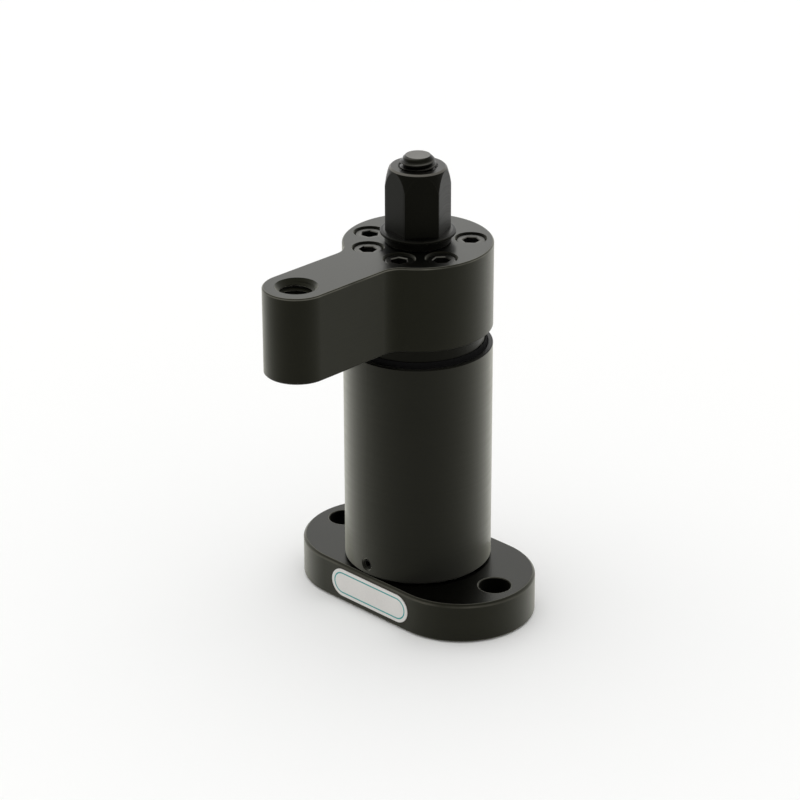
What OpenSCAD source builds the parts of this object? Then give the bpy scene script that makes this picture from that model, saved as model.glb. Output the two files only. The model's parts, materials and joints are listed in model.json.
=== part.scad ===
// Nut-operated swing clamp. A nut on a fixed centre stud holds a sprung spindle down.
// As the nut is slackened the spindle rises, and a cam post turns the clamp arm a quarter turn.
// Frame: origin on the underside of the base plate, on the axis of the stud.
// +Z is up, the base plate lies along X and the arm points to -Y. All sizes in millimetres.

/* [Base plate] */
// Length of the base plate over its round ends
base_len = 91; // [83:1:110]
// Width of the base plate, twice the radius of its ends
base_w = 51; // [50.5:0.5:58]
// Thickness of the base plate
base_t = 14; // [12:0.5:20]
// Chamfer on the upper edge of the base plate
base_edge = 0.8; // [0.2:0.1:1.2]
// Distance from each end of the base plate to its fixing hole
bolt_end = 9.5; // [7.5:0.5:13]
// Diameter of the fixing holes
bolt_d = 11; // [9:0.5:12]
// Chamfer at both mouths of the fixing holes
bolt_edge = 0.2; // [0.2:0.1:1]
// Height of the spigot that carries the body tube
spigot_h = 12; // [11:0.5:16]
// Depth of the recess for the lock nut under the base plate
lock_depth = 8; // [7:0.5:9]

/* [Body tube] */
// Outer diameter of the body tube
tube_od = 50; // [48:0.5:50]
// Wall of the body tube
tube_wall = 2.5; // [2.2:0.1:3]
// Length of the body tube
tube_len = 79; // [75:1:100]
// Chamfer at the foot of the tube, seen as a dark seam on the base plate
tube_foot_edge = 0.8; // [0.3:0.1:1.2]
// Chamfer on the rim of the tube
tube_rim_edge = 0.3; // [0.2:0.1:0.8]
// Thickness of the upper guide ring and of the wiper ring
ring_t = 1.24; // [1:0.02:1.3]
// Length of the upper guide ring
guide_len = 6; // [4:0.5:8]
// Distance from the rim down to the upper guide ring
guide_down = 6; // [5.5:0.5:9]
// Depth of the wiper ring in the mouth of the tube
wiper_depth = 3.6; // [2.5:0.1:4.5]
// Height of the wiper lip above the rim
wiper_lip = 1.7; // [0.8:0.1:2.4]
// Thickness of the wiper lip
wiper_lip_t = 0.7; // [0.5:0.05:0.9]

/* [Set screw] */
// Thread diameter of the set screw that locks the tube
set_d = 4; // [3:0.5:5]
// Height of the set screw above the base plate
set_up = 4; // [3.5:0.1:4.5]
// Depth of the set screw below the tube's outside
set_recess = 0.7; // [0.3:0.1:1]
// Depth of the locking groove in the spigot
set_groove = 1.5; // [1:0.1:2]
// Socket of the set screw across flats
set_socket = 2; // [1.5:0.1:2.2]

/* [Stud and nuts] */
// Thread diameter of the centre stud
stud_d = 12; // [10:0.5:12]
// Height of the stud above the nut
stud_proud = 3.7; // [2.5:0.1:5]
// Chamfer on the stud's upper end
stud_top_edge = 1.9; // [1:0.1:2.4]
// Height of the stud's lower end above the underside of the base plate
stud_low = 1; // [0.5:0.1:1.5]
// Both hexagons across flats
nut_af = 19; // [17:0.5:20]
// Angle of the clamping nut's flats when clamped
nut_angle = 22; // [0:1:59]
// Height of the clamping nut with its flange
nut_h = 23; // [20:0.5:26]
// Flange diameter of the clamping nut
nut_flange_d = 25; // [24:0.5:27]
// Edge thickness of the nut's flange
nut_flange_t = 0.9; // [0.8:0.1:2.5]
// Height of the sloped face from the flange to the hexagon
nut_flange_slope = 0.5; // [0.3:0.1:2.5]
// Height of the slim taper at the nut's upper end
nut_taper_h = 7; // [5:0.5:9]
// Chamfer around the nut's top face
nut_top_edge = 0.6; // [0.3:0.1:1.2]
// Height of the lock nut under the base plate
lock_h = 6; // [5:0.5:6.5]
// Diameter of the washer under the clamping nut
washer_d = 22; // [20:0.5:25.5]
// Thickness of the washer under the clamping nut
washer_t = 3; // [2.5:0.1:5]
// Chamfer on the edges of the washer
washer_edge = 0.4; // [0.2:0.1:0.8]

/* [Clamp arm] */
// Diameter of the arm's hub
hub_d = 50; // [48:0.5:54]
// Thickness of the clamp arm
arm_t = 29.5; // [27:0.5:31]
// Distance from the stud to the threaded hole in the arm's tip
arm_reach = 55; // [46:1:70]
// Width of the arm, twice the radius of its tip
arm_w = 22; // [20:0.5:26]
// Fillet where the arm meets the hub
arm_fillet = 8; // [1:0.5:10]
// Chamfer on the arm's upper edge
arm_top_edge = 0.4; // [0.3:0.1:1]
// Chamfer on the arm's lower edge
arm_low_edge = 0.4; // [0.3:0.1:1.6]
// Thread diameter of the hole in the arm's tip
tip_d = 12; // [10:0.5:13]
// Countersink diameter of the hole in the arm's tip
tip_csk_d = 14; // [13.5:0.1:15]
// Gap between the rim of the tube and the arm's underside
arm_gap = 6.3; // [5.8:0.1:8]

/* [Arm screws] */
// Thread diameter of the arm screws
screw_d = 6; // [5:0.5:6]
// Length of the arm screws below the head
screw_len = 35; // [33:1:37]
// Head diameter of the arm screws
screw_head_d = 10; // [9:0.1:10.2]
// Head height of the arm screws
screw_head_h = 6; // [5:0.5:6.5]
// Socket of the arm screws across flats
screw_socket = 5; // [4:0.1:5]
// Depth of the screw heads below the arm's top
screw_sunk = 0.6; // [0.2:0.1:1.5]
// Radius of the ring of arm screws
screw_ring_r = 17.5; // [17.3:0.1:18]
// Angle from the arm to the front screws
screw_front = 24; // [20:1:30]
// Angle from the arm to the side screws
screw_side = 70; // [68:1:85]
// Angle from the arm to the back screws
screw_back = 140; // [125:1:150]

/* [Spindle and cam] */
// Length of the spindle below the arm
spindle_len = 51; // [49:0.5:54]
// Rise of the spindle from clamped to released
lift = 12; // [8:0.5:12]
// Turn of the arm over that rise
swing = 90; // [60:5:90]
// Straight stretch of the cam groove below the turn
clamp_stroke = 4; // [2:0.5:4.5]
// Diameter of the cam post
post_d = 26; // [25:0.5:26]
// Depth of the cam post's seat in the spigot
post_seat = 4; // [3:0.5:5]
// Width of the cam groove
groove_w = 6; // [5:0.5:6.5]
// Depth of the cam groove
groove_depth = 4; // [3:0.5:4]
// Thread diameter of the guide screw
guide_screw_d = 8; // [7.5:0.5:8.5]
// Height of the guide screw above the spindle's lower end
guide_screw_up = 6.5; // [6:0.5:8]
// Outer diameter of the spindle's nose in the arm
nose_d = 24; // [22:0.5:26]
// Height of the spindle's nose
nose_h = 3; // [2:0.5:4]
// Wall of the bush around the stud
bush_wall = 2; // [1.5:0.1:2.5]
// Length of the bush around the stud
bush_len = 16; // [12:0.5:17]
// Diameter of both dowels
dowel_d = 4; // [3:0.5:4]
// Length of both dowels
dowel_len = 12; // [9:0.5:12]

/* [Return spring] */
// Wire diameter of the return spring
wire_d = 2.5; // [2:0.1:2.6]
// Mean diameter of the return spring
spring_d = 36; // [34:0.5:37]
// Free turns between the closed end turns
spring_turns = 2; // [1.5:0.25:2.25]
// Thickness of the spring seat
seat_t = 2; // [1.5:0.1:3]
// Thickness of the spring cap
cap_t = 3; // [2:0.1:4]

/* [Label] */
// Length of the blank label on the base plate
label_len = 36; // [24:1:38]
// Height of the blank label
label_h = 10.2; // [8:0.1:10.5]
// Thickness of the blank label
label_t = 0.3; // [0.1:0.05:0.5]
// Distance of the label's middle from the stud, along the base plate
label_x = 2; // [0:0.5:2]
// Height of the label's middle above the underside
label_z = 7.2; // [6.8:0.1:7.4]

/* [Hidden] */
$fn = 96;

// Overlap of cutting tools past the faces they cut
cut = 0.5;
// Radial clearance of pieces that stand still against each other
fit = 0.05;
// Radial clearance of pieces that slide or turn on each other
run = 0.04;
// Radial clearance of pieces that pass each other freely
free = 0.3;
// Depth of the tapped holes beyond the ends of the arm screws
drill_past = 2;

bolt_pitch = base_len - 2 * bolt_end;
tube_r = tube_od / 2;
bore_r = tube_r - tube_wall;
spigot_r = bore_r - fit;
spindle_r = bore_r - free;
ring_in_r = spindle_r + run;
ring_out_r = ring_in_r + ring_t;
stud_r = stud_d / 2;
hub_r = hub_d / 2;
tip_r = arm_w / 2;
post_r = post_d / 2;
post_bore_r = post_r + free;
bush_r = stud_r + fit + bush_wall;
nose_r = nose_d / 2;

z_spigot = base_t + spigot_h;
z_rim = base_t + tube_len;
z_arm = z_rim + arm_gap;
z_arm_top = z_arm + arm_t;
z_nut = z_arm_top + washer_t;
z_nut_top = z_nut + nut_h;
z_stud_top = z_nut_top + stud_proud;
z_spindle = z_arm - spindle_len;
z_guide_screw = z_spindle + guide_screw_up;
z_post_low = z_spigot - post_seat;
// Wall of the cam post above the top of its groove
post_brim = 3;
z_post_top = z_guide_screw + lift + groove_w / 2 + post_brim;
// Room above the cam post when the spindle is at its lowest
post_room = 1;
z_post_bore_top = z_post_top + clamp_stroke + post_room;
z_bush = z_arm + nose_h - bush_len;
z_set = base_t + set_up;
z_guide_top = z_rim - guide_down;

// Lower guide ring in its groove on the spindle
low_ring_up = 13;
low_ring_len = 6;
low_ring_depth = 0.9;
low_ring_in_r = spindle_r - low_ring_depth;
z_low_ring = z_spindle + low_ring_up;

// Sealing ring between the spigot and the tube
o_ring_d = 1.8;
o_ring_up = 8.6;
o_ring_r = spigot_r - o_ring_d / 2;

// Places of the arm screws, as angles from the arm, and of the dowel opposite the arm
screw_angles = [-screw_back, -screw_side, -screw_front, screw_front, screw_side, screw_back];
dowel_angle = 180;
z_screw_seat = z_arm_top - screw_sunk - screw_head_h;
z_screw_end = z_screw_seat - screw_len;
z_arm_dowel = z_arm - dowel_len / 2;

// The cam post's dowel stands half in the spigot and half in the post
post_dowel_r = (stud_r + free + post_r) / 2;
z_post_dowel = z_post_low - dowel_len / 2;

// The guide screw points to the stud from +Y, and its point runs in the cam groove
guide_angle = 90;
guide_point_r = groove_w / 2 - free;
// Gap between the guide screw's point and the floor of the groove
guide_gap = 0.4;
guide_in_r = post_r - groove_depth + guide_gap;
guide_body_in_r = post_bore_r + free;
guide_body_out_r = spindle_r - free;
cam_steps = 24;

z_spring_low = z_spigot + seat_t;
z_spring_top = z_spindle - cap_t;
spring_r = spring_d / 2;
wire_sides = 8;
rings_per_turn = 24;
// Closed turns at each end of the spring, wound with this gap
end_turns = 1;
end_gap = 0.08;

// Small chamfers of the turned pieces and fasteners
stud_low_edge = 1;
lock_edge = 0.8;
dowel_edge = 0.4;
spindle_edge = 0.6;
guide_edge = 0.6;
head_edge = 0.5;
nut_csk = 0.5;
// Depth of the guide screw's socket
guide_socket_depth = 3;

steel = [0.16, 0.16, 0.145];
steel_dark = [0.11, 0.11, 0.10];
bright_steel = [0.55, 0.55, 0.54];
bronze = [0.62, 0.45, 0.22];
rubber = [0.05, 0.05, 0.055];
plastic = [0.20, 0.26, 0.25];
paper = [0.80, 0.79, 0.77];

// A body of revolution about Z from half of its section
module turned(section) {
    rotate_extrude() polygon(section);
}

// A disc on Z = 0 with chamfered edges
module edged_disc(r, h, top, low) {
    turned([[0, 0], [r - low, 0], [r, low], [r, h - top], [r - top, h], [0, h]]);
}

// A bar along X on Z = 0 with chamfered long edges
module edged_bar(length, w, h, top, low) {
    rotate([90, 0, 90])
        linear_extrude(length, center = true)
            polygon([[low - w / 2, 0], [w / 2 - low, 0], [w / 2, low], [w / 2, h - top], [w / 2 - top, h],
                     [top - w / 2, h], [-w / 2, h - top], [-w / 2, low]]);
}

// A plain ring on Z = 0
module ring(outer, inner, h) {
    turned([[inner, 0], [outer, 0], [outer, h], [inner, h]]);
}

// A straight hole from z0 to z1
module hole(r, z0, z1) {
    translate([0, 0, z0]) cylinder(r = r, h = z1 - z0);
}

// A chamfer cutter for the mouth of a hole at z, facing up or down
module mouth(r, edge, z, up) {
    translate([0, 0, z])
        mirror([0, 0, up ? 0 : 1])
            translate([0, 0, -edge])
                cylinder(r1 = r, r2 = r + edge + cut, h = edge + cut);
}

// A hexagon prism on Z = 0 with two flats facing +X and -X
module hexagon(af, h) {
    rotate([0, 0, 30]) cylinder(d = af / cos(30), h = h, $fn = 6);
}

// Places children on the ring of arm screws, at an angle from the arm
module on_ring(angle) {
    translate([screw_ring_r * sin(angle), -screw_ring_r * cos(angle), 0]) children();
}

// Lays children along a radius of the stud at height z and an angle from +X
module radial(angle, z) {
    rotate([0, 0, angle]) translate([0, 0, z]) rotate([0, 90, 0]) children();
}

module base_plate() {
    shift = (base_len - base_w) / 2;
    end_r = base_w / 2;
    low_edge = base_edge / 2;
    color(steel)
    difference() {
        union() {
            for (side = [-1, 1])
                translate([side * shift, 0, 0]) edged_disc(end_r, base_t, base_edge, low_edge);
            edged_bar(2 * shift, base_w, base_t, base_edge, low_edge);
            hole(spigot_r, base_t - cut, z_spigot);
        }
        for (side = [-1, 1])
            translate([side * bolt_pitch / 2, 0, 0]) {
                hole(bolt_d / 2, -cut, base_t + cut);
                mouth(bolt_d / 2, bolt_edge, base_t, true);
                mouth(bolt_d / 2, bolt_edge, 0, false);
            }
        hole(stud_r + fit, -cut, z_spigot + cut);
        hole(nut_af / cos(30) / 2 + free, -cut, lock_depth);
        hole(post_r + fit, z_post_low, z_spigot + cut);
        translate([0, post_dowel_r, 0]) hole(dowel_d / 2 + fit, z_post_dowel - fit, z_spigot);
        translate([0, 0, z_set - set_d / 2 - free])
            ring(spigot_r + cut, spigot_r - set_groove, set_d + 2 * free);
        translate([0, 0, base_t + o_ring_up - o_ring_d / 2 - free])
            ring(spigot_r + cut, o_ring_r - o_ring_d / 2 - fit, o_ring_d + 2 * free);
    }
}

module body_tube() {
    seat_r = ring_out_r + fit;
    z_mouth = z_rim - wiper_depth - fit;
    z_groove = z_guide_top - guide_len - fit;
    color(steel)
    difference() {
        turned([[bore_r, base_t], [tube_r - tube_foot_edge, base_t], [tube_r, base_t + tube_foot_edge],
                [tube_r, z_rim - tube_rim_edge], [tube_r - tube_rim_edge, z_rim], [seat_r, z_rim],
                [seat_r, z_mouth], [bore_r, z_mouth], [bore_r, z_guide_top + fit],
                [seat_r, z_guide_top + fit], [seat_r, z_groove], [bore_r, z_groove]]);
        radial(-90, z_set) hole(set_d / 2 + fit, bore_r - cut, tube_r + cut);
    }
}

module centre_stud() {
    color(steel_dark)
    turned([[0, stud_low], [stud_r - stud_low_edge, stud_low], [stud_r, stud_low + stud_low_edge],
            [stud_r, z_stud_top - stud_top_edge], [stud_r - stud_top_edge, z_stud_top],
            [0, z_stud_top]]);
}

module stud_lock_nut() {
    corner_r = nut_af / cos(30) / 2;
    color(steel_dark)
    translate([0, 0, lock_depth - lock_h])
        difference() {
            intersection() {
                hexagon(nut_af, lock_h);
                turned([[0, 0], [corner_r - 2 * lock_edge, 0], [corner_r, lock_edge], [corner_r, lock_h],
                        [0, lock_h]]);
            }
            hole(stud_r + fit, -cut, lock_h + cut);
        }
}

module cam_post() {
    floor_r = post_r - groove_depth;
    color(bright_steel)
    difference() {
        translate([0, 0, z_post_low])
            ring(post_r, stud_r + free, z_post_top - z_post_low);
        translate([0, post_dowel_r, 0])
            hole(dowel_d / 2 + fit, z_post_low - cut, z_post_dowel + dowel_len + fit);
        for (step = [0 : cam_steps])
            radial(guide_angle + swing * step / cam_steps, z_guide_screw + lift * step / cam_steps)
                hole(groove_w / 2, floor_r, post_r + cut);
        radial(guide_angle, z_guide_screw - clamp_stroke) {
            hole(groove_w / 2, floor_r, post_r + cut);
            translate([-clamp_stroke, -groove_w / 2, floor_r])
                cube([clamp_stroke, groove_w, groove_depth + cut]);
        }
    }
}

module cam_post_dowel() {
    color(bright_steel)
    translate([0, post_dowel_r, z_post_dowel]) edged_disc(dowel_d / 2, dowel_len, dowel_edge, dowel_edge);
}

module tube_set_screw() {
    z_in = spigot_r - set_groove + fit;
    z_out = tube_r - set_recess;
    socket_depth = set_d / 2;
    edge = set_d / 10;
    color(steel_dark)
    radial(-90, z_set)
        difference() {
            translate([0, 0, z_in]) edged_disc(set_d / 2, z_out - z_in, edge, edge);
            translate([0, 0, z_out - socket_depth]) hexagon(set_socket, socket_depth + cut);
        }
}

module tube_o_ring() {
    color(rubber)
    translate([0, 0, base_t + o_ring_up])
        rotate_extrude() translate([o_ring_r, 0]) circle(d = o_ring_d, $fn = 32);
}

module wiper_ring() {
    z0 = z_rim - wiper_depth;
    lip_r = ring_in_r + wiper_lip_t;
    color(rubber)
    turned([[ring_in_r, z0], [ring_out_r, z0], [ring_out_r, z_rim], [lip_r, z_rim],
            [ring_in_r + wiper_lip_t / 2, z_rim + wiper_lip], [ring_in_r, z_rim + wiper_lip]]);
}

module upper_guide_ring() {
    color(bronze)
    translate([0, 0, z_guide_top - guide_len]) ring(ring_out_r, ring_in_r, guide_len);
}

module spring_seat() {
    color(bright_steel)
    translate([0, 0, z_spigot]) ring(spigot_r - free, post_bore_r, seat_t);
}

// Points of one ring of the spring's wire, in its own radial plane
function wire_ring(angle, z) = [
    for (side = [0 : wire_sides - 1])
        let (turn = 360 * side / wire_sides, r = spring_r + wire_d / 2 * cos(turn))
            [r * cos(angle), r * sin(angle), z + wire_d / 2 * sin(turn)]
];

// Height of the wire's middle after a number of turns: closed end turns and an open middle
function wire_z(turns, open_pitch) =
    let (end_pitch = wire_d + end_gap)
    turns < end_turns ? turns * end_pitch
    : turns < end_turns + spring_turns ? end_turns * end_pitch + (turns - end_turns) * open_pitch
    : (turns - spring_turns) * end_pitch + spring_turns * open_pitch;

module return_spring() {
    all_turns = spring_turns + 2 * end_turns;
    rise = z_spring_top - z_spring_low - wire_d;
    open_pitch = (rise - 2 * end_turns * (wire_d + end_gap)) / spring_turns;
    last = round(all_turns * rings_per_turn);
    points = [
        for (step = [0 : last])
            let (turns = all_turns * step / last)
                each wire_ring(360 * turns, z_spring_low + wire_d / 2 + wire_z(turns, open_pitch))
    ];
    sides = [
        for (step = [0 : last - 1], side = [0 : wire_sides - 1])
            let (next = (side + 1) % wire_sides, low = step * wire_sides, high = low + wire_sides)
                [low + side, low + next, high + next, high + side]
    ];
    first_face = [for (side = [wire_sides - 1 : -1 : 0]) side];
    last_face = [for (side = [0 : wire_sides - 1]) last * wire_sides + side];
    color(bright_steel)
    polyhedron(points, concat([first_face, last_face], sides));
}

module spring_cap() {
    color(bronze)
    translate([0, 0, z_spring_top]) ring(spindle_r - fit, post_bore_r, cap_t);
}

module swing_spindle() {
    pass_r = stud_r + free;
    z_low_ring_end = z_low_ring + low_ring_len;
    color(steel)
    difference() {
        turned([[post_bore_r, z_spindle], [spindle_r - spindle_edge, z_spindle],
                [spindle_r, z_spindle + spindle_edge], [spindle_r, z_low_ring - fit],
                [low_ring_in_r - fit, z_low_ring - fit], [low_ring_in_r - fit, z_low_ring_end + fit],
                [spindle_r, z_low_ring_end + fit], [spindle_r, z_arm], [nose_r, z_arm],
                [nose_r, z_arm + nose_h], [bush_r + fit, z_arm + nose_h], [bush_r + fit, z_bush],
                [pass_r, z_bush], [pass_r, z_post_bore_top], [post_bore_r, z_post_bore_top]]);
        for (angle = screw_angles)
            on_ring(angle) hole(screw_d / 2 + fit, z_screw_end - drill_past, z_arm + cut);
        on_ring(dowel_angle) hole(dowel_d / 2 + fit, z_arm_dowel - fit, z_arm + cut);
        radial(guide_angle, z_guide_screw)
            hole(guide_screw_d / 2 + fit, post_bore_r - cut, spindle_r + cut);
    }
}

module lower_guide_ring() {
    color(plastic)
    translate([0, 0, z_low_ring]) ring(bore_r - run, low_ring_in_r, low_ring_len);
}

module guide_screw() {
    body_len = guide_body_out_r - guide_body_in_r;
    point_len = guide_body_in_r - guide_in_r;
    color(bright_steel)
    radial(guide_angle, z_guide_screw)
        difference() {
            union() {
                translate([0, 0, guide_body_in_r])
                    edged_disc(guide_screw_d / 2, body_len, guide_edge, guide_edge);
                translate([0, 0, guide_in_r])
                    edged_disc(guide_point_r, point_len + guide_edge, 0, guide_edge / 2);
            }
            translate([0, 0, guide_body_out_r - guide_socket_depth])
                hexagon(guide_screw_d / 2, guide_socket_depth + cut);
        }
}

module stud_bush() {
    color(bronze)
    translate([0, 0, z_bush]) ring(bush_r, stud_r + fit, bush_len);
}

module arm_dowel() {
    color(bright_steel)
    on_ring(dowel_angle)
        translate([0, 0, z_arm_dowel]) edged_disc(dowel_d / 2, dowel_len, dowel_edge, dowel_edge);
}

// The web that fills one corner between the arm's side and the hub with a fillet
module arm_web(side) {
    centre_x = tip_r + arm_fillet;
    centre_y = -sqrt(pow(hub_r + arm_fillet, 2) - pow(centre_x, 2));
    on_hub = [centre_x, centre_y] * hub_r / (hub_r + arm_fillet);
    mirror([side < 0 ? 1 : 0, 0, 0])
        difference() {
            linear_extrude(arm_t)
                polygon([[tip_r, centre_y], on_hub, [tip_r / 2, -hub_r / 2], [tip_r / 2, centre_y]]);
            translate([centre_x, centre_y, 0]) {
                hole(arm_fillet, -cut, arm_t + cut);
                mouth(arm_fillet, arm_top_edge, arm_t, true);
                mouth(arm_fillet, arm_low_edge, 0, false);
            }
        }
}

module swing_arm() {
    csk = (tip_csk_d - tip_d) / 2;
    color(steel)
    translate([0, 0, z_arm])
        difference() {
            union() {
                edged_disc(hub_r, arm_t, arm_top_edge, arm_low_edge);
                translate([0, -arm_reach / 2, 0])
                    rotate([0, 0, 90]) edged_bar(arm_reach, arm_w, arm_t, arm_top_edge, arm_low_edge);
                translate([0, -arm_reach, 0]) edged_disc(tip_r, arm_t, arm_top_edge, arm_low_edge);
                for (side = [-1, 1]) arm_web(side);
            }
            hole(stud_r + 2 * free, -cut, arm_t + cut);
            hole(nose_r + fit, -cut, nose_h + fit);
            for (angle = screw_angles)
                on_ring(angle) {
                    hole(screw_d / 2 + free, -cut, arm_t + cut);
                    hole(screw_head_d / 2 + free, z_screw_seat - z_arm, arm_t + cut);
                }
            on_ring(dowel_angle) hole(dowel_d / 2 + fit, -cut, dowel_len / 2 + fit);
            translate([0, -arm_reach, 0]) {
                hole(tip_d / 2, -cut, arm_t + cut);
                mouth(tip_d / 2, csk, arm_t, true);
                mouth(tip_d / 2, csk, 0, false);
            }
        }
}

module arm_screws() {
    end_edge = screw_d / 8;
    socket_depth = screw_head_h / 2;
    head_r = screw_head_d / 2;
    shank_r = screw_d / 2;
    color(steel_dark)
    for (angle = screw_angles)
        on_ring(angle)
            translate([0, 0, z_screw_seat])
                difference() {
                    turned([[0, -screw_len], [shank_r - end_edge, -screw_len],
                            [shank_r, end_edge - screw_len], [shank_r, 0], [head_r, 0],
                            [head_r, screw_head_h - head_edge], [head_r - head_edge, screw_head_h],
                            [0, screw_head_h]]);
                    translate([0, 0, screw_head_h - socket_depth])
                        hexagon(screw_socket, socket_depth + cut);
                }
}

module thrust_washer() {
    color(steel_dark)
    translate([0, 0, z_arm_top])
        difference() {
            edged_disc(washer_d / 2, washer_t, washer_edge, washer_edge);
            hole(stud_r + free, -cut, washer_t + cut);
        }
}

module clamp_nut() {
    corner_r = nut_af / cos(30) / 2;
    flange_r = nut_flange_d / 2;
    slope_top = nut_flange_t + nut_flange_slope;
    neck_r = nut_af / 2;
    // The slope ends inside the hexagon's flats
    slope_r = neck_r - cut;
    color(steel_dark)
    translate([0, 0, z_nut])
        difference() {
            union() {
                turned([[0, 0], [flange_r, 0], [flange_r, nut_flange_t], [slope_r, slope_top],
                        [0, slope_top]]);
                intersection() {
                    rotate([0, 0, nut_angle]) hexagon(nut_af, nut_h);
                    turned([[0, 0], [corner_r + cut, 0], [corner_r + cut, nut_h - nut_taper_h],
                            [corner_r, nut_h - nut_taper_h], [neck_r, nut_h - nut_top_edge],
                            [neck_r - nut_top_edge, nut_h], [0, nut_h]]);
                }
            }
            hole(stud_r + fit, -cut, nut_h + cut);
            mouth(stud_r + fit, nut_csk, nut_h, true);
            mouth(stud_r + fit, nut_csk, 0, false);
        }
}

module label() {
    color(paper)
    translate([label_x, -base_w / 2, label_z])
        rotate([90, 0, 0])
            linear_extrude(label_t)
                union() {
                    square([label_len - label_h, label_h], center = true);
                    for (side = [-1, 1])
                        translate([side * (label_len - label_h) / 2, 0]) circle(d = label_h);
                }
}

base_plate();
body_tube();
centre_stud();
stud_lock_nut();
cam_post();
cam_post_dowel();
tube_set_screw();
tube_o_ring();
wiper_ring();
upper_guide_ring();
spring_seat();
return_spring();
spring_cap();
swing_spindle();
lower_guide_ring();
guide_screw();
stud_bush();
arm_dowel();
swing_arm();
arm_screws();
thrust_washer();
clamp_nut();
label();
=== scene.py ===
"""Looks of a nut-operated swing clamp in blackened steel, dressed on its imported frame.

Meshes are drawn in millimetres, in the axes of the frame, and turned to metres as they are made.
The frame's own solids give every size that they show, and the classes hold the rest.
"""

import json
import logging
import math
from collections.abc import Callable, Sequence
from dataclasses import dataclass, field, replace
from enum import Enum, IntEnum

import bmesh
import bpy
from mathutils import Matrix, Vector
from mathutils.geometry import delaunay_2d_cdt


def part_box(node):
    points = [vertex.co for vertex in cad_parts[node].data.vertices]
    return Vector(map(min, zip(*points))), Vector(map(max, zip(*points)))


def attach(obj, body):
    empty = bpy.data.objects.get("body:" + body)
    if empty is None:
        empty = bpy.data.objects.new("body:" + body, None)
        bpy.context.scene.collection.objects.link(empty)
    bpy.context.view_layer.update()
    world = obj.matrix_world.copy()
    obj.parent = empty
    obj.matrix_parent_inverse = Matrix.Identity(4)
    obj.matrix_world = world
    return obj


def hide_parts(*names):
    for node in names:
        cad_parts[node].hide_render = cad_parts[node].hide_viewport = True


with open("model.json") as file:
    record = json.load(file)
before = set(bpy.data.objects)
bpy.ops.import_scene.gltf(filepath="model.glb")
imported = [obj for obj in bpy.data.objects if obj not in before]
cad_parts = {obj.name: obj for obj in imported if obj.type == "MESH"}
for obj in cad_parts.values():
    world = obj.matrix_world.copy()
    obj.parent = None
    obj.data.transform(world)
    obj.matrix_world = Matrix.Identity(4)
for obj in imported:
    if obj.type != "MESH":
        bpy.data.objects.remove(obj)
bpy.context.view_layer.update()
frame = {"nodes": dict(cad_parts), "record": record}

LOG = logging.getLogger("swing_clamp")
MM = 0.001
# Edges that turn by more than this many degrees shade as sharp
SHARP_TURN = 33
# Flat band beside a chamfer, in millimetres, that keeps the big face next to it shading flat
BAND = 0.25
# Angle from the middle of a hexagon's flat to its corner, in radians
HEX_HALF = math.pi / 6
# Attribute of a mesh's points that says how worn they are
WORN = "worn"

Flat = tuple[float, float]
Ring = list[int]
Ends = tuple[Ring, Ring]
Outline = Callable[[float], list[Flat]]
# Radius and wear of a thread at a phase across its pitch and a height
ThreadShape = Callable[[float, float], tuple[float, float]]


def linear(hex_colour: str) -> tuple[float, float, float, float]:
    """Turns an sRGB hex colour to linear light.

    Args:
        hex_colour: Six hex digits after a hash sign.

    Returns:
        Red, green, blue and an alpha of one.
    """
    parts = [int(hex_colour[i:i + 2], 16) / 255 for i in (1, 3, 5)]
    red, green, blue = [p / 12.92 if p <= 0.04045 else ((p + 0.055) / 1.055) ** 2.4 for p in parts]
    return red, green, blue, 1.0


def add_node(tree: bpy.types.NodeTree, kind: str, values: dict | None = None,
             links: dict | None = None, **settings: object) -> bpy.types.Node:
    """Adds one node to a tree.

    Args:
        tree: The tree that takes the node.
        kind: The type name of the node.
        values: Fixed values by input name or number.
        links: Output sockets that feed the inputs, by input name or number.
        settings: Properties of the node itself.

    Returns:
        The new node.
    """
    made = tree.nodes.new(kind)
    for key, value in settings.items():
        setattr(made, key, value)
    for key, value in (values or {}).items():
        made.inputs[key].default_value = value
    for key, source in (links or {}).items():
        tree.links.new(source, made.inputs[key])
    return made


def add_object(name: str, data: bpy.types.ID) -> bpy.types.Object:
    """Adds an object to the scene.

    Args:
        name: Name of the object.
        data: Its mesh, light or camera.

    Returns:
        The new object.
    """
    made = bpy.data.objects.new(name, data)
    bpy.context.scene.collection.objects.link(made)
    return made


def box_mm(node: str) -> tuple[Vector, Vector]:
    """Gives the lowest and highest corner of a CAD node in millimetres."""
    low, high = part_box(node)
    return low / MM, high / MM


def mount(name: str) -> dict:
    """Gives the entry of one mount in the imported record."""
    return next(m for m in frame["record"]["mounts"] if m["name"] == name)


class Grain(Enum):
    """How the tool marks of a surface run."""

    ALONG_X = "milled along X"
    ALONG_Y = "milled along Y"
    TURNED = "turned about Z"
    EVEN = "no direction"


class Ink(IntEnum):
    """Which finish in its piece's list a face shows."""

    MAIN = 0
    SECOND = 1
    THIRD = 2


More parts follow.
